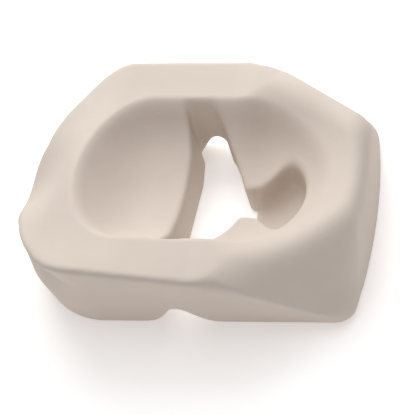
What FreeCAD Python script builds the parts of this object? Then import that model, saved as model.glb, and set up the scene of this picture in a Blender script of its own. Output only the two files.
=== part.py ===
import FreeCAD, Part
import os
import re
import Sketcher

# Face cradle cushion: a contoured soft foam pad bonded to two firmer foam base blocks, one each
# side of the air channel, with four hook pads let into the underside. Millimetres, +Z up. The
# origin is the middle of the underside, the forehead end points to -X and the chin end to +X;
# the plane Y = 0 is a plane of symmetry.

SIZES = [
    # the plan at floor level and at the plan's upper level; walls run straight between the two
    ("chin_end", 150, "square end face"),
    ("floor_back", -140, "round end at the floor"),
    ("floor_side", 101, "half the width at the floor"),
    ("floor_radius", 74, "corners of the round end at the floor"),
    ("upper_level", 86, "height of the upper plan"),
    ("upper_back", -152, "round end at the upper level"),
    ("upper_side", 116, "half the width at the upper level, round end"),
    ("upper_side_chin", 127, "half the width at the upper level, chin end"),
    ("upper_radius", 114, "corners of the round end at the upper level"),
    ("chin_radius", 12, "corners of the chin end"),
    # heights
    ("base_thickness", 22, "firm foam base blocks, up to the bond line"),
    ("back_edge", -150, "outer edge of the round end"),
    ("back_edge_height", 52, "rim height there"),
    ("back_bend", -118, "bend in the rim near the round end"),
    ("back_bend_height", 74, "rim height there"),
    ("highest_point", -75, "where the rim is highest"),
    ("highest_height", 86, "rim height there"),
    ("cheek_bend", 30, "bend in the rim beside the cheek pads"),
    ("cheek_bend_height", 77, "rim height there"),
    ("chin_edge_height", 72, "rim height at the square end"),
    # the slanting face on each chin corner, measured square to its own length
    ("corner_turn", 51.2, "direction it faces, turned from the long axis"),
    ("corner_lean", 25.8, "its lean, inward towards the top"),
    ("corner_foot", 158, "its distance from the middle where it meets the toe"),
    ("corner_toe_height", 14, "height of the flat toe"),
    # four overlapping hollows make the dish and the low middle of the round end
    ("forehead_hollow_top", 80, "height of the middle of the forehead hollow"),
    ("forehead_hollow_middle", -22, "its middle along the cushion"),
    ("forehead_hollow_length", 69, "its half length"),
    ("forehead_hollow_width", 77, "its half width"),
    ("forehead_hollow_depth", 45, "its depth"),
    ("cheek_hollow_top", 80, "height of the middle of the cheek hollow"),
    ("cheek_hollow_middle", 32, "its middle along the cushion"),
    ("cheek_hollow_length", 82, "its half length"),
    ("cheek_hollow_width", 75, "its half width"),
    ("cheek_hollow_depth", 51, "its depth"),
    ("chin_hollow_top", 85, "height of the middle of the dip in the chin rim"),
    ("chin_hollow_middle", 100, "its middle along the cushion"),
    ("chin_hollow_length", 60, "its half length"),
    ("chin_hollow_width", 75, "its half width"),
    ("chin_hollow_depth", 35, "its depth"),
    ("back_hollow_top", 95, "height of the middle of the dip in the round end"),
    ("back_hollow_middle", -175, "its middle along the cushion"),
    ("back_hollow_length", 65, "its half length"),
    ("back_hollow_width", 60, "its half width"),
    ("back_hollow_depth", 50, "its depth"),
    # the eye slot and the neck between the cheek pads
    ("slot_back", -8, "straight side of the eye slot"),
    ("slot_reach", 74, "half length of the eye slot"),
    ("slot_tip", 12, "end of the eye slot on the cheek side"),
    ("flank_upper", 18, "upper bend of the cheek pad flank"),
    ("flank_upper_side", 69, "half the gap between the flanks there"),
    ("flank_lower", 32, "lower bend of the cheek pad flank"),
    ("flank_lower_side", 42, "half the gap between the flanks there"),
    ("neck_start", 40, "start of the neck between the cheek pads"),
    ("neck_side", 14, "half the gap between the cheek pads"),
    ("neck_through", 52, "end of the part of the neck that is open below"),
    # the mouth bowl, cut from the cushion as a plan and from the base as a rounded floor
    ("neck_end", 58, "end of the neck"),
    ("cheek_corner", 67, "blunt corner of the cheek pad"),
    ("cheek_corner_side", 24, "half the gap at that corner"),
    ("mouth_start", 73, "start of the round side of the mouth bowl"),
    ("mouth_side", 34, "half its width there"),
    ("mouth_radius", 35, "radius of its round side"),
    ("mouth_middle", 67, "middle of its floor"),
    ("mouth_middle_height", 36, "height of the middle of its floor's curve"),
    ("mouth_floor_length", 29, "half length of its floor"),
    ("mouth_floor_width", 33, "half width of its floor"),
    ("mouth_depth", 31, "depth of its floor's curve"),
    ("neck_floor", 8, "height of the neck's floor beside the mouth bowl"),
    # the bell-shaped air channel through each side wall, as two sections
    ("channel_middle", 6.5, "middle of the channel along the cushion"),
    ("channel_start", 66, "distance of the inner section from the middle"),
    ("channel_height", 34, "its height"),
    ("channel_crown", 6, "half the width of its crown"),
    ("channel_shoulder", 14, "half its width at the shoulder"),
    ("channel_shoulder_height", 22, "height of the shoulder"),
    ("channel_foot", 24, "half its width at the floor"),
    ("channel_stop", 130, "distance of the outer section from the middle"),
    ("channel_narrowing", 0.56, "size of the outer section beside the inner one"),
    # hook pads
    ("pad_length", 60, "length of a hook pad"),
    ("pad_width", 20, "width of a hook pad"),
    ("pad_thickness", 2, "thickness of a hook pad"),
    ("pad_gap", 0.3, "gap round a pad in its recess"),
    ("pad_chin", 66, "middle of the two pads near the chin"),
    ("pad_chin_side", 72, "their distance from the middle"),
    ("pad_forehead", -70, "middle of the two pads near the forehead"),
    ("pad_forehead_side", 64, "their distance from the middle"),
    # reach of the cutting profiles past the foam
    ("cutter_top", 130, "height of the cutting profiles"),
    ("cutter_end", 260, "distance from the middle to their far side"),
]

doc = FreeCAD.newDocument("face_cradle_cushion")
sheet = doc.addObject("Spreadsheet::Sheet", "Sizes")
for row, (alias, value, meaning) in enumerate(SIZES, start=1):
    sheet.set(f"A{row}", meaning)
    sheet.set(f"B{row}", str(value))
    sheet.setAlias(f"B{row}", alias)
doc.recompute()


def expression(text):
    """Point the words of a formula at the sheet: '-neck_side' becomes '-Sizes.neck_side'."""
    for alias, _, _ in SIZES:
        text = re.sub(rf"\b{alias}\b", f"Sizes.{alias}", text)
    return text


def number(text):
    """The present value of a formula."""
    return float(sheet.evalExpression(expression(text)))


def origin_plane(body, role):
    """One of the three origin planes of a body."""
    return next(plane for plane in body.Origin.OriginFeatures if plane.Role == role)


def add_body(label, name):
    """An empty body; its label names the piece."""
    body = doc.addObject("PartDesign::Body", name)
    body.Label = label
    doc.recompute()
    return body


def add_sketch(body, name, role, height=None, turn=None):
    """An empty sketch on an origin plane, lifted along its normal or turned about +Z."""
    sketch = body.newObject("Sketcher::SketchObject", name)
    sketch.AttachmentSupport = [(origin_plane(body, role), "")]
    sketch.MapMode = "FlatFace"
    if height is not None:
        sketch.setExpression("AttachmentOffset.Base.z", expression(height))
    if turn is not None:
        sketch.AttachmentOffset = FreeCAD.Placement(
            FreeCAD.Vector(), FreeCAD.Rotation(FreeCAD.Vector(0, 1, 0), 1))
        sketch.setExpression("AttachmentOffset.Rotation.Angle", expression(turn))
    doc.recompute()
    return sketch


def pin(sketch, edge, end, across, along):
    """Hold one end of an edge at the formulas for its two coordinates."""
    for kind, text, axis in (("DistanceX", across, -2), ("DistanceY", along, -1)):
        value = number(text)
        if abs(value) < 1e-9:
            sketch.addConstraint(Sketcher.Constraint("PointOnObject", edge, end, axis))
            continue
        mark = sketch.addConstraint(Sketcher.Constraint(kind, -1, 1, edge, end, value))
        sketch.setExpression(f"Constraints[{mark}]", expression(text))


def add_outline(sketch, corners, rounds=None):
    """A closed clockwise outline through corners given as formulas.

    Side number i leaves corner i. rounds gives the radius of each side that is an arc.
    """
    rounds = rounds or {}
    points = [FreeCAD.Vector(number(x), number(y), 0) for x, y in corners]
    first = sketch.GeometryCount
    count = len(points)
    for index, start in enumerate(points):
        end = points[(index + 1) % count]
        if index not in rounds:
            sketch.addGeometry(Part.LineSegment(start, end), False)
            continue
        radius = number(rounds[index])
        travel = end - start
        inward = FreeCAD.Vector(travel.y, -travel.x, 0).normalize()
        sag = radius - (radius ** 2 - (travel.Length / 2) ** 2) ** 0.5
        crown = (start + end) * 0.5 - inward * sag
        sketch.addGeometry(Part.Arc(start, crown, end), False)
    for index in range(count):
        following = (index + 1) % count
        leave = 1 if index in rounds else 2
        enter = 2 if following in rounds else 1
        sketch.addConstraint(
            Sketcher.Constraint("Coincident", first + index, leave, first + following, enter))
    for index, (x, y) in enumerate(corners):
        if index in rounds:
            pin(sketch, first + index - 1, 2, x, y)
            mark = sketch.addConstraint(
                Sketcher.Constraint("Radius", first + index, number(rounds[index])))
            sketch.setExpression(f"Constraints[{mark}]", expression(rounds[index]))
        else:
            pin(sketch, first + index, 1, x, y)
    doc.recompute()


def add_pad(body, name, sketch, length):
    """Raise a sketch by a formula."""
    pad = body.newObject("PartDesign::Pad", name)
    pad.Profile = sketch
    pad.setExpression("Length", expression(length))
    sketch.Visibility = False
    doc.recompute()
    return pad


def add_loft(body, kind, name, first, second):
    """Join two sketches by straight lines, as solid or as a cut."""
    loft = body.newObject(f"PartDesign::{kind}Loft", name)
    loft.Profile = first
    loft.Sections = [second]
    loft.Ruled = True
    first.Visibility = False
    second.Visibility = False
    doc.recompute()
    return loft


def add_pocket(body, name, sketch, backwards=False, depth=None):
    """Cut a sketch out of a body: through everything, or to a depth given as a formula."""
    before = body.Shape.Volume
    pocket = body.newObject("PartDesign::Pocket", name)
    pocket.Profile = sketch
    if depth is None:
        pocket.Type = 1
        pocket.SideType = "Symmetric"
    else:
        pocket.setExpression("Length", expression(depth))
    pocket.Reversed = backwards
    sketch.Visibility = False
    doc.recompute()
    if body.Shape.Volume > before - 1:
        raise ValueError(f"{body.Label}: {name} cuts nothing")
    return pocket


def add_plan(body, name, height):
    """The cushion's outline at a height: round forehead end, square chin end with round corners."""
    share = f"(({height}) / upper_level)"

    def between(floor, upper):
        return f"({floor} + ({upper} - ({floor})) * {share})"

    back = between("floor_back", "upper_back")
    radius = between("floor_radius", "upper_radius")
    side = between("floor_side", "upper_side")
    chin_side = between("floor_side", "upper_side_chin")
    corners = [
        (back, f"-({side} - {radius})"),
        (back, f"{side} - {radius}"),
        (f"{back} + {radius}", side),
        ("chin_end - chin_radius", chin_side),
        ("chin_end", f"{chin_side} - chin_radius"),
        ("chin_end", f"-({chin_side} - chin_radius)"),
        ("chin_end - chin_radius", f"-{chin_side}"),
        (f"{back} + {radius}", f"-{side}"),
    ]
    sketch = add_sketch(body, name, "XY_Plane", height=height)
    add_outline(sketch, corners, {1: radius, 3: "chin_radius", 5: "chin_radius", 7: radius})
    return sketch


def add_flared_block(body, bottom, top):
    """Foam between two heights, wider towards the top."""
    lower = add_plan(body, body.Name + "LowerPlan", bottom)
    upper = add_plan(body, body.Name + "UpperPlan", top)
    add_loft(body, "Additive", body.Name + "Block", lower, upper)


def cut_chin_corners(body):
    """Slice the two slanting faces off the chin corners, down to the flat toes."""
    profile = [
        ("corner_foot - (cutter_top - corner_toe_height) * tan(corner_lean)", "cutter_top"),
        ("cutter_end", "cutter_top"),
        ("cutter_end", "corner_toe_height"),
        ("corner_foot", "corner_toe_height"),
    ]
    for side, turn in (("Left", "corner_turn"), ("Right", "-corner_turn")):
        sketch = add_sketch(body, f"{body.Name}Corner{side}Profile", "XZ_Plane", turn=turn)
        add_outline(sketch, profile)
        add_pocket(body, f"{body.Name}Corner{side}", sketch)


def cut_opening(body, ending, rounds=None):
    """Cut the eye slot and the neck through a body, closed by an ending of its own."""
    one_side = [
        ("slot_back", "slot_reach"),
        ("slot_tip", "slot_reach"),
        ("flank_upper", "flank_upper_side"),
        ("flank_lower", "flank_lower_side"),
        ("neck_start", "neck_side"),
    ] + ending
    other_side = [(x, f"-{y}") for x, y in reversed(one_side)]
    sketch = add_sketch(body, body.Name + "OpeningPlan", "XY_Plane")
    arcs = {len(one_side) - 1: rounds} if rounds else None
    add_outline(sketch, one_side + other_side, arcs)
    add_pocket(body, body.Name + "Opening", sketch)


def cut_ellipsoid(body, name, middle, top, half_sizes, half=False):
    """Scoop an ellipsoid, or only its half towards the chin, out of a body."""
    before = body.Shape.Volume
    hollow = body.newObject("PartDesign::SubtractiveEllipsoid", name)
    length, width, depth = half_sizes
    hollow.setExpression("Radius1", expression(depth))
    hollow.setExpression("Radius2", expression(width if half else length))
    hollow.setExpression("Radius3", expression(length if half else width))
    hollow.Angle1 = -90
    hollow.Angle2 = 90
    hollow.Angle3 = 180 if half else 360
    if half:
        hollow.Placement = FreeCAD.Placement(
            FreeCAD.Vector(), FreeCAD.Rotation(FreeCAD.Vector(0, 0, 1), -90))
    hollow.setExpression("Placement.Base.x", expression(middle))
    hollow.setExpression("Placement.Base.z", expression(top))
    doc.recompute()
    if body.Shape.Volume > before - 1:
        raise ValueError(f"{name} cuts nothing")


def cut_channels(body):
    """Cut the air channel through both side walls of a body."""
    arch = [("channel_foot", "0"), ("channel_shoulder", "channel_shoulder_height"),
            ("channel_crown", "channel_height")]
    sections = []
    for name, distance, share in (("Inner", "channel_start", "1"),
                                  ("Outer", "channel_stop", "channel_narrowing")):
        far_half = [(f"channel_middle + {x} * {share}", f"{z} * {share}") for x, z in reversed(arch)]
        near_half = [(f"channel_middle - {x} * {share}", f"{z} * {share}") for x, z in arch]
        sketch = add_sketch(body, body.Name + "Channel" + name, "XZ_Plane", height=distance)
        add_outline(sketch, near_half + far_half)
        sections.append(sketch)
    before = body.Shape.Volume
    channel = add_loft(body, "Subtractive", body.Name + "Channel", *sections)
    mirrored = body.newObject("PartDesign::Mirrored", body.Name + "OtherChannel")
    mirrored.Originals = [channel]
    mirrored.MirrorPlane = (origin_plane(body, "XZ_Plane"), [""])
    body.Tip = mirrored
    doc.recompute()
    if body.Shape.Volume > before - 1:
        raise ValueError(f"{body.Label}: the channels cut nothing")


HOOK_PADS = {
    "forehead_base": [
        ("hook_pad_forehead_left", "pad_forehead", "pad_forehead_side"),
        ("hook_pad_forehead_right", "pad_forehead", "-pad_forehead_side"),
    ],
    "chin_base": [
        ("hook_pad_chin_left", "pad_chin", "pad_chin_side"),
        ("hook_pad_chin_right", "pad_chin", "-pad_chin_side"),
    ],
}


def pad_outline(along, across, gap):
    """A hook pad's rectangle, grown by a gap."""
    back = f"{along} - pad_length / 2 - {gap}"
    front = f"{along} + pad_length / 2 + {gap}"
    left = f"{across} + pad_width / 2 + {gap}"
    right = f"{across} - pad_width / 2 - {gap}"
    return [(back, right), (back, left), (front, left), (front, right)]


def add_base(label, name, far_side):
    """A firm foam base block: all of the base but what lies beyond the channel's middle."""
    base = add_body(label, name)
    add_flared_block(base, "0", "base_thickness")
    beyond = add_sketch(base, name + "BeyondPlan", "XY_Plane")
    add_outline(beyond, [("channel_middle", "-cutter_end"), ("channel_middle", "cutter_end"),
                         (far_side, "cutter_end"), (far_side, "-cutter_end")])
    add_pocket(base, name + "Beyond", beyond)
    cut_opening(base, [("neck_through", "neck_side")])
    cut_channels(base)
    recesses = add_sketch(base, name + "PadRecessPlan", "XY_Plane")
    for _, along, across in HOOK_PADS[label]:
        add_outline(recesses, pad_outline(along, across, "pad_gap"))
    add_pocket(base, name + "PadRecesses", recesses, depth="pad_thickness", backwards=True)
    return base


forehead_base = add_base("forehead_base", "ForeheadBase", "cutter_end")

# The chin block also has the slanting corners and the floor of the neck and mouth bowl.
chin_base = add_base("chin_base", "ChinBase", "-cutter_end")
cut_chin_corners(chin_base)
neck = add_sketch(chin_base, "NeckFloorPlan", "XY_Plane", height="base_thickness")
add_outline(neck, [("neck_start", "-neck_side"), ("neck_start", "neck_side"),
                   ("mouth_middle", "neck_side"), ("mouth_middle", "-neck_side")])
add_pocket(chin_base, "NeckFloor", neck, depth="base_thickness - neck_floor")
cut_ellipsoid(chin_base, "MouthFloor", "mouth_middle", "mouth_middle_height",
              ("mouth_floor_length", "mouth_floor_width", "mouth_depth"), half=True)

# Soft contoured cushion, bonded to both base blocks.
cushion = add_body("contour_cushion", "Cushion")
add_flared_block(cushion, "base_thickness", "highest_height")

rim = add_sketch(cushion, "RimSideProfile", "XZ_Plane")
add_outline(rim, [
    ("-cutter_end", "cutter_top"),
    ("cutter_end", "cutter_top"),
    ("cutter_end", "chin_edge_height"),
    ("chin_end", "chin_edge_height"),
    ("cheek_bend", "cheek_bend_height"),
    ("highest_point", "highest_height"),
    ("back_bend", "back_bend_height"),
    ("back_edge", "back_edge_height"),
    ("-cutter_end", "back_edge_height"),
])
add_pocket(cushion, "RimSideCut", rim)

cut_chin_corners(cushion)
for part in ("forehead", "cheek", "chin", "back"):
    half_sizes = [f"{part}_hollow_{measure}" for measure in ("length", "width", "depth")]
    cut_ellipsoid(cushion, part.capitalize() + "Hollow", f"{part}_hollow_middle",
                  f"{part}_hollow_top", half_sizes)
cut_opening(cushion, [
    ("neck_end", "neck_side"),
    ("cheek_corner", "cheek_corner_side"),
    ("mouth_start", "mouth_side"),
], "mouth_radius")
cut_channels(cushion)

# Hook pads, flush with the underside.
bodies = [cushion, forehead_base, chin_base]
for label, along, across in HOOK_PADS["forehead_base"] + HOOK_PADS["chin_base"]:
    pad = add_body(label, label.title().replace("_", ""))
    plan = add_sketch(pad, pad.Name + "Plan", "XY_Plane")
    add_outline(plan, pad_outline(along, across, "0"))
    add_pad(pad, pad.Name + "Strip", plan, "pad_thickness")
    bodies.append(pad)

doc.recompute()
for item in doc.Objects:
    if "Invalid" in item.State or "Error" in item.State:
        raise ValueError(f"{item.Label} did not recompute")

os.makedirs("parts", exist_ok=True)
for body in bodies:
    shape = body.Shape
    if shape.isNull() or not shape.isValid():
        raise ValueError(f"{body.Label} has no valid shape")
    shape.exportStep(f"parts/{body.Label}.step")
    box = shape.BoundBox
    print(body.Label, round(shape.Volume), len(shape.Solids), "solid",
          [round(v, 1) for v in (box.XMin, box.XMax, box.YMin, box.YMax, box.ZMin, box.ZMax)])
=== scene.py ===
import math
import bmesh
import bpy
import numpy as np
from mathutils import Matrix, Vector


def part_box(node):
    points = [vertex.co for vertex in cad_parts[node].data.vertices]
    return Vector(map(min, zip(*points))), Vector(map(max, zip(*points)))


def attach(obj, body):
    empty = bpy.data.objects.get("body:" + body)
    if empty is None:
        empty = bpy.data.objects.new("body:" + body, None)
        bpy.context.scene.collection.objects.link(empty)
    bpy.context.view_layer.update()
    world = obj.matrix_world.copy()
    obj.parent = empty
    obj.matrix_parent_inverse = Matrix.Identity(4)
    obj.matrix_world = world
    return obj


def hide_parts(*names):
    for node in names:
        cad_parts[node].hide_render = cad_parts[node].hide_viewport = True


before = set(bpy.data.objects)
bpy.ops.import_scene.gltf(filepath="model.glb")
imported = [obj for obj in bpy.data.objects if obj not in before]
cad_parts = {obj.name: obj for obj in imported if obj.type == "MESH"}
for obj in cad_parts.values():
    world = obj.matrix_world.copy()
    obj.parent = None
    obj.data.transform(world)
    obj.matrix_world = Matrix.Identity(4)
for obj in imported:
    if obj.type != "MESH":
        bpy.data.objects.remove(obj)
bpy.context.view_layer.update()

# ---------------------------------------------------------------------------------------------
# The foam's shape, as fields in millimetres: negative inside the foam, zero on its surface.
# X runs from the forehead to the chin, Y across the face, Z up; both halves are alike.
# ---------------------------------------------------------------------------------------------
# Height of the bond between the soft cushion and its base.
BOND_HEIGHT = 22.0

# The walls. FLARE is how far the side wall leans out for each millimetre up, in the middle.
# CHIN_ROUND is the radius of the upright corners at the chin end.
FLOOR_HALF_WIDTH = 101.5
FLARE = 0.25
ROUND_START = -60.0
ROUND_LENGTH = 78.6
ROUND_FLARE = 0.22
CHIN_END = 150.0
CHIN_BOW = 0.0008
CHIN_ROUND = 13.0

# The slanting face on each chin corner: the way it faces, and its distance from the origin.
CORNER_FACING = (0.564, 0.702, 0.4355)
CORNER_DISTANCE = 151.2
TOE_HEIGHT = 14.0

# The rim and the dish. The dish is straight-sided between its back and its front.
RIM_HEIGHT = 75.7
CHIN_DIP = 72.6
CHIN_DIP_HEIGHT = 44.5
DISH_SIDE = 73.2
DISH_BACK = -35.0
DISH_BACK_LENGTH = 51.0
DISH_FRONT = 50.0
DISH_FRONT_LENGTH = 67.0
DISH_FLOOR = 35.0

# The eye slot, and the neck between the cheek pads; SLOT_REACH and NECK_SIDE are half widths.
# Two flats make the flank of a cheek pad: the way each one faces, and a point it goes through.
SLOT_BACK = -7.0
SLOT_REACH = 74.5
FLANKS = (((0.938, 0.346), (28.0, 52.0)), ((0.856, 0.518), (18.5, 71.0)))
NECK_SIDE = 13.5
NECK_END = 50.0

# The mouth bowl. Its floor is rounded below MOUTH_LEVEL.
MOUTH_MIDDLE = 71.0
MOUTH_HALF_LENGTH = 26.0
MOUTH_HALF_WIDTH = 37.0
MOUTH_LEVEL = 36.0
MOUTH_DEPTH = 31.0

# The air channels, bell-shaped in section. The bell's height and width are those at CHANNEL_SIDE,
# and both shrink further out.
CHANNEL_MIDDLE = 6.5
CHANNEL_START = 73.0
CHANNEL_SIDE = 74.0
CHANNEL_HEIGHT = 32.0
CHANNEL_WIDTH = 20.0


def soft_max(first, second, reach):
    """The larger of two fields, rounded over a reach where they are close."""
    near = np.maximum(reach - np.abs(first - second), 0.0) / reach
    return np.maximum(first, second) + near * near * reach / 4


def soft_min(first, second, reach):
    """The smaller of two fields, rounded over a reach where they are close."""
    return -soft_max(-first, -second, reach)


def ease(start, end, x):
    """0 before a start, 1 past an end, with a smooth passage between."""
    share = np.clip((x - start) / (end - start), 0, 1)
    return share * share * (3 - 2 * share)


def outer_wall(x, y, z):
    """The flared side wall, the round forehead end and the bowed chin end."""
    side = np.abs(y)
    flare = FLARE + 0.0009 * np.clip(x, -60, 60)
    half_width = FLOOR_HALF_WIDTH + flare * z
    straight = side - half_width
    length = ROUND_LENGTH + ROUND_FLARE * z
    # The round end is a superellipse, fullest at the foot and leanest a little under the rim.
    power = np.minimum(2.05 - 0.003 * z, 2.45 - 0.016 * z)
    power = np.maximum(power, 1.45 + 0.012 * (z - 62.0))
    back = np.maximum((ROUND_START - x) / length, 1e-4)
    out = np.maximum(side / half_width, 1e-4)
    share = (back ** power + out ** power) ** (1 / power)
    slope = np.hypot(back ** (power - 1) / length, out ** (power - 1) / half_width)
    slope = np.maximum(slope * share ** (1 - power), 0.7 / half_width)
    around = np.where(x > ROUND_START, straight, (share - 1) / slope) + CHIN_ROUND
    end = x - CHIN_END + CHIN_BOW * y * y + CHIN_ROUND
    corner = np.hypot(np.maximum(around, 0), np.maximum(end, 0))
    return corner + np.minimum(np.maximum(around, end), 0) - CHIN_ROUND


def chin_corner(x, y, z):
    """The flat slanting face on each chin corner, which runs out into a thin toe."""
    along, across, upward = CORNER_FACING
    slant = along * x + across * np.abs(y) + upward * z - CORNER_DISTANCE
    return soft_min(slant, z - TOE_HEIGHT, 16.0)


def rim_height(x, y):
    """Height of the rim all round, as if the dish were not there."""
    side = np.abs(y)
    along = np.minimum(x, 30.0)
    beside = soft_max(side - 75.0, 0.0, 20.0)
    level = RIM_HEIGHT - 0.065 * along + beside * (0.108 - 0.0013 * along)
    # Outside the dish the round end's rim falls away, most in its middle.
    out = np.hypot(np.minimum(x - DISH_BACK, 0) / 54.0, y / 76.0) - 1
    fall = 0.2 + 0.42 * np.exp(-(y / 45.0) ** 2)
    level = level - 62.0 * np.maximum(out, 0) * ease(60.0, 110.0, -x) * fall
    bend = np.where(x < CHIN_DIP, 0.012, 0.0047)
    chin = CHIN_DIP_HEIGHT + bend * (x - CHIN_DIP) ** 2 + 0.0041 * y * y
    return soft_min(level, chin, 9.0)


def dish_share(x, y):
    """0 in the middle of the dish, 1 on its rim, more outside."""
    side = np.maximum(np.abs(y) / DISH_SIDE, 1e-6)
    length = np.maximum((x - DISH_FRONT) / DISH_FRONT_LENGTH, (DISH_BACK - x) / DISH_BACK_LENGTH)
    power = np.where(x > DISH_FRONT, 1.75, 2.0)
    share = (np.maximum(length, 1e-6) ** power + side ** power) ** (1 / power)
    return np.where((x > DISH_BACK) & (x <= DISH_FRONT), side, share)


def top_height(x, y):
    """Height of the upper surface: the rim with the dish let into it."""
    rim = rim_height(x, y)
    share = dish_share(x, y)
    side = np.minimum(np.abs(y) / DISH_SIDE, 1.0)
    # The dish is lowest at the cheek pads, and rises towards the forehead and the chin.
    floor = DISH_FLOOR - 0.11 * np.clip(x + 10, 0, 55) + 0.08 * np.clip(x - 60, 0, 40)
    floor = floor + 0.0022 * np.maximum(-10 - x, 0) ** 2
    power = 2.4 + 1.8 * side ** 2
    filled = soft_min(share, 1.0, 0.09) ** power
    return floor + (rim - floor) * filled


def top_surface(x, y, z):
    """The upper surface as a field."""
    step = 0.5
    height = top_height(x, y)
    slope_x = (top_height(x + step, y) - top_height(x - step, y)) / (2 * step)
    slope_y = (top_height(x, y + step) - top_height(x, y - step)) / (2 * step)
    return (z - height) / np.sqrt(1 + slope_x ** 2 + slope_y ** 2)


def opening(x, y):
    """The eye slot and the neck between the cheek pads, open from top to bottom."""
    side = np.abs(y)
    back = SLOT_BACK - 0.13 * np.maximum(side - 45.0, 0)
    slot = soft_max(back - x, side - SLOT_REACH, 5.0)
    for (along, across), (place_x, place_y) in FLANKS:
        slot = soft_max(slot, along * (x - place_x) + across * (side - place_y), 8.0)
    neck = np.maximum(side - NECK_SIDE, np.maximum(20 - x, x - NECK_END))
    return soft_min(slot, neck, 5.0)


def mouth_bowl(x, y, z):
    """The deep bowl for the mouth, which runs into the neck: upright above its middle height."""
    side = np.abs(y)
    along = (x - MOUTH_MIDDLE) / MOUTH_HALF_LENGTH
    across = y / MOUTH_HALF_WIDTH
    sunk = np.maximum(MOUTH_LEVEL - z, 0.0) / MOUTH_DEPTH
    bowl = np.sqrt(along ** 2 + across ** 2 + sunk ** 4) - 1
    behind_pads = 0.69 * (side - 16.5) - 0.72 * (x - 58.0)
    return soft_max(bowl * 28.0, soft_min(side - NECK_SIDE, behind_pads, 6.0), 8.0)


def air_channel(x, y, z):
    """The bell-shaped channel through each side wall, taller at the eye slot than outside."""
    side = np.abs(y)
    reach = side - CHANNEL_SIDE
    height = CHANNEL_HEIGHT - 0.22 * reach
    width = CHANNEL_WIDTH - 0.167 * reach
    across = (x - CHANNEL_MIDDLE) / width
    ceiling = height * np.exp(-across ** 2)
    slope = 2 * ceiling * across / width
    return np.maximum((z - ceiling) / np.sqrt(1 + slope ** 2), CHANNEL_START - side)


def foam(x, y, z):
    """The whole foam body."""
    # Edges are softer towards the chin: those of the slanting faces, and the rim's outer edge.
    end_round = 1.5 + 9.0 * np.clip((x - 122.0) / 18.0, 0, 1)
    sides = soft_max(outer_wall(x, y, z), chin_corner(x, y, z), end_round)
    rim_round = 7.0 + 17.0 * ease(32.0, 66.0, x)
    body = soft_max(sides, top_surface(x, y, z), rim_round)
    inner = soft_min(opening(x, y), air_channel(x, y, z), 3.0)
    inner = soft_min(inner, mouth_bowl(x, y, z), 5.0)
    body = soft_max(body, -inner, 5.0)
    return soft_max(body, -z, 4.0)


# ---------------------------------------------------------------------------------------------
# From a field to a mesh
# ---------------------------------------------------------------------------------------------
def surface_net(field, low, high, step):
    """Vertices and quads on the zero surface of a field, one vertex to each crossed cell."""
    axes = [np.arange(a, b + step, step) for a, b in zip(low, high)]
    grid = np.meshgrid(*axes, indexing="ij", sparse=True)
    value = np.broadcast_to(field(*grid), [len(a) for a in axes])
    inside = value < 0
    cells = tuple(n - 1 for n in value.shape)
    total = np.zeros(cells + (3,))
    crossings = np.zeros(cells, int)
    for axis in range(3):
        first, second = (axis + 1) % 3, (axis + 2) % 3
        near = [slice(None)] * 3
        far = [slice(None)] * 3
        near[axis], far[axis] = slice(0, -1), slice(1, None)
        start, end = value[tuple(near)], value[tuple(far)]
        crossed = inside[tuple(near)] != inside[tuple(far)]
        share = np.where(crossed, start / np.where(crossed, start - end, 1), 0)
        for i in (0, 1):
            for j in (0, 1):
                window = [slice(None)] * 3
                window[first] = slice(i, i + cells[first])
                window[second] = slice(j, j + cells[second])
                hit = crossed[tuple(window)]
                total[..., axis] += np.where(hit, share[tuple(window)], 0)
                total[..., first] += hit * i
                total[..., second] += hit * j
                crossings += hit
    used = crossings > 0
    number = np.full(cells, -1)
    number[used] = np.arange(used.sum())
    corner = np.argwhere(used)
    vertices = np.array(low) + step * (corner + total[used] / crossings[used][:, None])
    quads = []
    for axis in range(3):
        first, second = (axis + 1) % 3, (axis + 2) % 3
        near = [slice(1, -1)] * 3
        far = [slice(1, -1)] * 3
        near[axis], far[axis] = slice(0, -1), slice(1, None)
        a, b = inside[tuple(near)], inside[tuple(far)]
        place = np.argwhere(a != b)
        leaving = a[a != b]
        place[:, first] += 1
        place[:, second] += 1
        ring = []
        for i, j in ((1, 1), (0, 1), (0, 0), (1, 0)):
            cell = place.copy()
            cell[:, first] -= i
            cell[:, second] -= j
            ring.append(number[cell[:, 0], cell[:, 1], cell[:, 2]])
        ring = np.stack(ring, axis=1)
        quads.append(np.where(leaving[:, None], ring, ring[:, ::-1]))
    return vertices, np.concatenate(quads)


def settle(field, points, rounds=4):
    """Move points onto the zero surface of a field."""
    step = 0.25
    for _ in range(rounds):
        x, y, z = points.T
        value = field(x, y, z)
        slope = np.stack([
            field(x + step, y, z) - field(x - step, y, z),
            field(x, y + step, z) - field(x, y - step, z),
            field(x, y, z + step) - field(x, y, z - step),
        ], axis=1) / (2 * step)
        move = value / np.maximum((slope ** 2).sum(1), 0.2)
        points = points - np.clip(move, -1.5, 1.5)[:, None] * slope
    return points


def mesh_object(name, vertices, faces):
    """An object from vertices in millimetres."""
    mesh = bpy.data.meshes.new(name)
    mesh.from_pydata((np.asarray(vertices) / 1000.0).tolist(), [], np.asarray(faces).tolist())
    mesh.update()
    piece = bpy.data.objects.new(name, mesh)
    bpy.context.scene.collection.objects.link(piece)
    return piece


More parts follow.
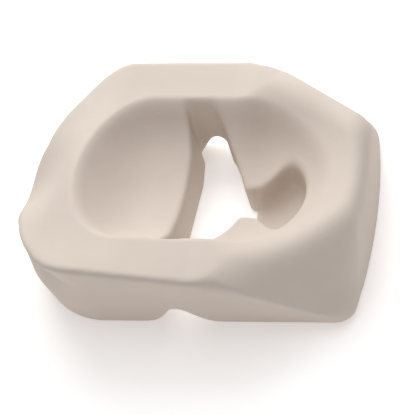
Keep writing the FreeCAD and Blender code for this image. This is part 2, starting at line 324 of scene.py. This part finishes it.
def keep_side(piece, normal, distance, beyond):
    """Cut a piece square to a normal, a distance in millimetres out, keep one side and close it."""
    mesh = piece.data
    work = bmesh.new()
    work.from_mesh(mesh)
    whole = work.verts[:] + work.edges[:] + work.faces[:]
    direction = Vector(normal)
    bmesh.ops.bisect_plane(work, geom=whole, plane_co=direction * distance / 1000, plane_no=direction,
                           clear_inner=beyond, clear_outer=not beyond)
    rim = [edge for edge in work.edges if edge.is_boundary]
    if rim:
        for face in work.faces:
            face.smooth = True
        for edge in rim:
            edge.smooth = False
        cap = bmesh.ops.triangle_fill(work, use_beauty=True, edges=rim,
                                      normal=-direction if beyond else direction)
        for face in cap["geom"]:
            if isinstance(face, bmesh.types.BMFace):
                face.smooth = False
    work.to_mesh(mesh)
    work.free()


GRID_LOW = (-156, -124, -4)
GRID_HIGH = (156, 124, 88)
GRID_STEP = 2.0
vertices, faces = surface_net(foam, GRID_LOW, GRID_HIGH, GRID_STEP)
vertices = settle(foam, vertices)

cushion = mesh_object("cushion_foam", vertices, faces)
keep_side(cushion, (0, 0, 1), BOND_HEIGHT, True)
forehead_base = mesh_object("forehead_base_foam", vertices, faces)
chin_base = mesh_object("chin_base_foam", vertices, faces)
for base, towards_chin in ((forehead_base, False), (chin_base, True)):
    keep_side(base, (0, 0, 1), BOND_HEIGHT, False)
    keep_side(base, (1, 0, 0), CHANNEL_MIDDLE, towards_chin)


# ---------------------------------------------------------------------------------------------
# Hook tape: a backing strip with rounded corners and rows of small bent hooks, let into the base
# ---------------------------------------------------------------------------------------------
PAD_CORNER = 4.0
BACKING_HEIGHT = 0.9
BACKING_GAP = 0.02
HOOK_PITCH = 1.6
HOOK_MARGIN = 2.0
HOOK_WIDTH = 0.5
RECESS_GAP = 0.3

# Sections down a hook: the drop below the backing, the shift to one side, and the width beside
# HOOK_WIDTH. The hook starts wide, thins, and turns up a little at its tip.
HOOK_SECTIONS = ((0.0, 0.0, 1.3), (0.45, 0.05, 0.9), (0.8, 0.35, 0.8), (0.7, 0.75, 0.5))


def add_prism(work, outline, bottom, top):
    """A closed prism on an outline given in millimetres."""
    lower = [work.verts.new((x / 1000, y / 1000, bottom / 1000)) for x, y in outline]
    upper = [work.verts.new((x / 1000, y / 1000, top / 1000)) for x, y in outline]
    work.faces.new(lower[::-1])
    work.faces.new(upper)
    for index in range(len(outline)):
        following = (index + 1) % len(outline)
        work.faces.new((lower[index], lower[following], upper[following], upper[index]))


def rounded_rectangle(low, high, radius, steps=6):
    """Corner points of a rectangle with rounded corners, counter-clockwise."""
    points = []
    corners = (high[0], high[1]), (low[0], high[1]), (low[0], low[1]), (high[0], low[1])
    for quarter, (x, y) in enumerate(corners):
        middle_x = x - radius if x == high[0] else x + radius
        middle_y = y - radius if y == high[1] else y + radius
        for step in range(steps + 1):
            angle = math.pi / 2 * (quarter + step / steps)
            points.append((middle_x + radius * math.cos(angle), middle_y + radius * math.sin(angle)))
    return points


def add_hook(work, x, y, lean):
    """One nylon hook: a stem that hangs from the backing and bends over at its tip."""
    rings = []
    for drop, shift, scale in HOOK_SECTIONS:
        z = (BACKING_HEIGHT - drop) / 1000
        half = HOOK_WIDTH / 2 * scale
        middle = x + shift * lean
        rings.append([work.verts.new(((middle + a * half) / 1000, (y + b * half) / 1000, z))
                      for a, b in ((1, 1), (-1, 1), (-1, -1), (1, -1))])
    work.faces.new(rings[0][::-1])
    for ring, following in zip(rings, rings[1:]):
        for index in range(4):
            other = (index + 1) % 4
            work.faces.new((ring[index], ring[other], following[other], following[index]))
    work.faces.new(rings[-1])


def hook_strip(node):
    """The detailed strip that stands for one hook pad of the frame."""
    low, high = (np.array(corner) * 1000 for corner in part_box(node))
    work = bmesh.new()
    outline = rounded_rectangle(low, high, PAD_CORNER)
    add_prism(work, outline, BACKING_HEIGHT, high[2] - BACKING_GAP)
    columns = int((high[0] - low[0] - 2 * HOOK_MARGIN) / HOOK_PITCH)
    rows = int((high[1] - low[1] - 2 * HOOK_MARGIN) / HOOK_PITCH)
    for column in range(columns + 1):
        for row in range(rows + 1):
            x = (low[0] + high[0]) / 2 + (column - columns / 2) * HOOK_PITCH
            y = (low[1] + high[1]) / 2 + (row - rows / 2) * HOOK_PITCH
            add_hook(work, x, y, 1 if row % 2 else -1)
    bmesh.ops.recalc_face_normals(work, faces=work.faces[:])
    mesh = bpy.data.meshes.new(node + "_strip")
    work.to_mesh(mesh)
    work.free()
    strip = bpy.data.objects.new(node + "_strip", mesh)
    bpy.context.scene.collection.objects.link(strip)
    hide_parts(node)
    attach(strip, "root")
    return strip


def cut_recess(base, node):
    """Let a hook pad's recess into the underside of a base block."""
    low, high = (np.array(corner) * 1000 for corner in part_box(node))
    outline = rounded_rectangle(low[:2] - RECESS_GAP, high[:2] + RECESS_GAP, PAD_CORNER)
    work = bmesh.new()
    add_prism(work, outline, -5.0, high[2])
    mesh = bpy.data.meshes.new("recess")
    work.to_mesh(mesh)
    work.free()
    cutter = bpy.data.objects.new("recess", mesh)
    bpy.context.scene.collection.objects.link(cutter)
    cut = base.modifiers.new("recess", "BOOLEAN")
    cut.object = cutter
    cut.operation = "DIFFERENCE"
    cut.solver = "EXACT"
    bpy.context.view_layer.objects.active = base
    with bpy.context.temp_override(object=base, active_object=base, selected_objects=[base]):
        bpy.ops.object.modifier_apply(modifier=cut.name)
    bpy.data.objects.remove(cutter)
    bpy.data.meshes.remove(mesh)


strips = []
for name in sorted(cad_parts):
    if name.startswith("hook_pad"):
        cut_recess(forehead_base if "forehead" in name else chin_base, name)
        strips.append(hook_strip(name))

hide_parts("contour_cushion")
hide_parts("forehead_base")
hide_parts("chin_base")
for piece, name in ((cushion, "soft_foam"), (forehead_base, "firm_foam"), (chin_base, "firm_foam")):
    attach(piece, "root")


# ---------------------------------------------------------------------------------------------
# Materials
# ---------------------------------------------------------------------------------------------
def new_material(name):
    """A material with nodes, its tree and its shader."""
    material = bpy.data.materials.new(name)
    material.use_nodes = True
    tree = material.node_tree
    shader = next(node for node in tree.nodes if node.type == "BSDF_PRINCIPLED")
    return material, tree, shader


def noise(tree, scale, detail, roughness=0.5):
    """Noise in the piece's own coordinates, with a scale in cells per metre."""
    place = tree.nodes.new("ShaderNodeTexCoord")
    texture = tree.nodes.new("ShaderNodeTexNoise")
    texture.inputs["Scale"].default_value = scale
    texture.inputs["Detail"].default_value = detail
    texture.inputs["Roughness"].default_value = roughness
    tree.links.new(place.outputs["Object"], texture.inputs["Vector"])
    return texture


def foam_material(name, light, dark):
    """Moulded foam: a matt, finely pitted skin with faint uneven colour."""
    material, tree, shader = new_material(name)
    patches = noise(tree, 28, 4, 0.6)
    ramp = tree.nodes.new("ShaderNodeValToRGB")
    ramp.color_ramp.elements[0].position = 0.30
    ramp.color_ramp.elements[0].color = (*dark, 1)
    ramp.color_ramp.elements[1].position = 0.72
    ramp.color_ramp.elements[1].color = (*light, 1)
    tree.links.new(patches.outputs["Fac"], ramp.inputs["Fac"])
    tree.links.new(ramp.outputs["Color"], shader.inputs["Base Color"])
    pores = noise(tree, 900, 3, 0.6)
    dents = noise(tree, 90, 3, 0.5)
    fine = tree.nodes.new("ShaderNodeBump")
    fine.inputs["Strength"].default_value = 0.25
    fine.inputs["Distance"].default_value = 0.0004
    coarse = tree.nodes.new("ShaderNodeBump")
    coarse.inputs["Strength"].default_value = 0.10
    coarse.inputs["Distance"].default_value = 0.0010
    tree.links.new(pores.outputs["Fac"], fine.inputs["Height"])
    tree.links.new(dents.outputs["Fac"], coarse.inputs["Height"])
    tree.links.new(coarse.outputs["Normal"], fine.inputs["Normal"])
    tree.links.new(fine.outputs["Normal"], shader.inputs["Normal"])
    shader.inputs["Roughness"].default_value = 0.88
    shader.inputs["Specular IOR Level"].default_value = 0.25
    return material


FOAM_LIGHT = (0.655, 0.572, 0.508)
FOAM_DARK = (0.63, 0.548, 0.484)
soft_skin = foam_material("soft_foam_skin", FOAM_LIGHT, FOAM_DARK)
firm_skin = foam_material("firm_foam_skin", FOAM_LIGHT, FOAM_DARK)
cushion.data.materials.append(soft_skin)
forehead_base.data.materials.append(firm_skin)
chin_base.data.materials.append(firm_skin)

hook_tape, tree, shader = new_material("hook_tape")
hooks = noise(tree, 700, 2)
tint = tree.nodes.new("ShaderNodeValToRGB")
tint.color_ramp.elements[0].color = (0.50, 0.45, 0.38, 1)
tint.color_ramp.elements[1].color = (0.70, 0.65, 0.57, 1)
tree.links.new(hooks.outputs["Fac"], tint.inputs["Fac"])
tree.links.new(tint.outputs["Color"], shader.inputs["Base Color"])
shader.inputs["Roughness"].default_value = 0.6
for strip in strips:
    strip.data.materials.append(hook_tape)

# ---------------------------------------------------------------------------------------------
# Floor, light and camera
# ---------------------------------------------------------------------------------------------
bpy.ops.mesh.primitive_plane_add(size=12, location=(0, 0, 0))
floor = bpy.context.object
floor.name = "studio_floor"
paper, tree, shader = new_material("studio_paper")
shader.inputs["Base Color"].default_value = (0.95, 0.94, 0.94, 1)
shader.inputs["Emission Color"].default_value = (1, 0.98, 0.98, 1)
shader.inputs["Emission Strength"].default_value = 0.3
shader.inputs["Roughness"].default_value = 0.9
shader.inputs["Specular IOR Level"].default_value = 0.1
floor.data.materials.append(paper)


def area_light(name, place, target, size, power):
    """A square soft box aimed at a point."""
    data = bpy.data.lights.new(name, "AREA")
    data.size = size
    data.energy = power
    lamp = bpy.data.objects.new(name, data)
    aim = (Vector(target) - Vector(place)).to_track_quat("-Z", "Y")
    lamp.matrix_world = Matrix.Translation(Vector(place)) @ aim.to_matrix().to_4x4()
    bpy.context.scene.collection.objects.link(lamp)


area_light("key_soft_box", (-0.2, 0.65, 0.68), (0, 0, 0.03), 0.9, 8.2)
area_light("top_soft_box", (0.0, 0.1, 1.3), (0, 0, 0.03), 1.0, 4.2)
world = bpy.data.worlds.new("studio")
world.use_nodes = True
background = next(node for node in world.node_tree.nodes if node.type == "BACKGROUND")
background.inputs["Color"].default_value = (1, 1, 1, 1)
background.inputs["Strength"].default_value = 0.41
bpy.context.scene.world = world
bpy.context.scene.view_settings.view_transform = "Standard"

AZIMUTH = math.radians(-26.1)
ELEVATION = math.radians(45.0)
ROLL = math.radians(-20.4)
DISTANCE = 1.034
TARGET = Vector((0.0006, 0.0214, 0.0))
forward = Vector((math.sin(AZIMUTH) * math.cos(ELEVATION),
                  math.cos(AZIMUTH) * math.cos(ELEVATION), -math.sin(ELEVATION)))
level = Vector((math.cos(AZIMUTH), -math.sin(AZIMUTH), 0))
upright = level.cross(forward)
right = level * math.cos(ROLL) + upright * math.sin(ROLL)
up = upright * math.cos(ROLL) - level * math.sin(ROLL)
lens = bpy.data.cameras.new("camera")
lens.sensor_width = 36.0
lens.lens = 104.1
lens.clip_start = 0.05
lens.clip_end = 30.0
camera = bpy.data.objects.new("camera", lens)
turn = Matrix((right, up, -forward)).transposed().to_4x4()
camera.matrix_world = Matrix.Translation(TARGET - forward * DISTANCE) @ turn
bpy.context.scene.collection.objects.link(camera)
bpy.context.scene.camera = camera
